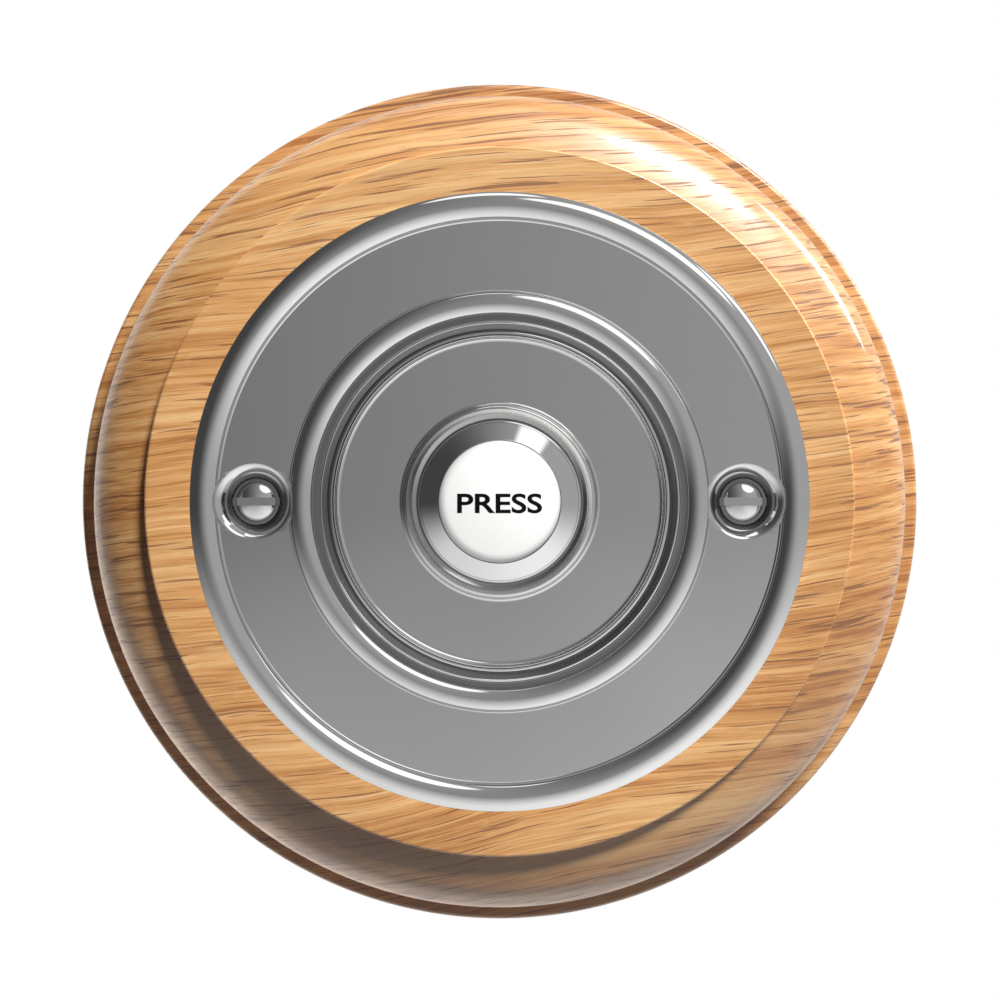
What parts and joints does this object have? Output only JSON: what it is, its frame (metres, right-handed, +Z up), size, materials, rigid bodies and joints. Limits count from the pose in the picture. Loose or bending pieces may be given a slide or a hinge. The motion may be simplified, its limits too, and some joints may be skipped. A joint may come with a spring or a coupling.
{
  "type": "doorbell push button",
  "caption": "Round doorbell push: a coved oak plinth, a beaded chrome rose with a reeded throat, a dished centre cap and a sprung white ceramic push button.",
  "frame": {"origin": "centre of the plinth's flat back, where it meets the wall", "axes": "+Z up on the wall, -Y straight out of the wall towards the visitor, +X to the visitor's right"},
  "size_m": [0.108, 0.0219, 0.108],
  "materials": {
    "oak": "satin-lacquered honey oak",
    "chrome_plate": "bright polished chrome on brass",
    "ceramic": "glazed white",
    "fibre": "vulcanised fibre",
    "black_moulding": "moulded black",
    "bronze_strip": "rolled phosphor bronze",
    "brass": "turned brass",
    "silver": "silver contact metal",
    "steel_screw": "zinc-plated"
  },
  "bodies": {
    "fixed": {"plinth": "oak", "rose": "chrome_plate", "centre_cap": "chrome_plate", "button_bezel": "chrome_plate", "button_retainer": "brass", "contact_base": "black_moulding", "spring_leaf": "bronze_strip", "fixed_contact": "brass", "fixed_contact_tip": "silver", "face_screw_left": "chrome_plate", "face_screw_right": "chrome_plate", "terminal_screw_left": "brass", "terminal_screw_right": "brass", "terminal_washer_left": "brass", "terminal_washer_right": "brass", "terminal_nut_left": "brass", "terminal_nut_right": "brass", "base_screw_upper": "steel_screw", "base_screw_lower": "steel_screw"},
    "button": {"push_button": "ceramic", "thrust_pad": "fibre", "leaf_contact_tip": "silver"}
  },
  "joints": [
    {"name": "button_press", "type": "slide", "parent": "fixed", "child": "button", "axis": [0, 1, 0], "range_m": [0, 0.0015], "stiffness_N_per_m": 400, "springref_m": -0.002, "deforming": ["spring_leaf"]}
  ]
}
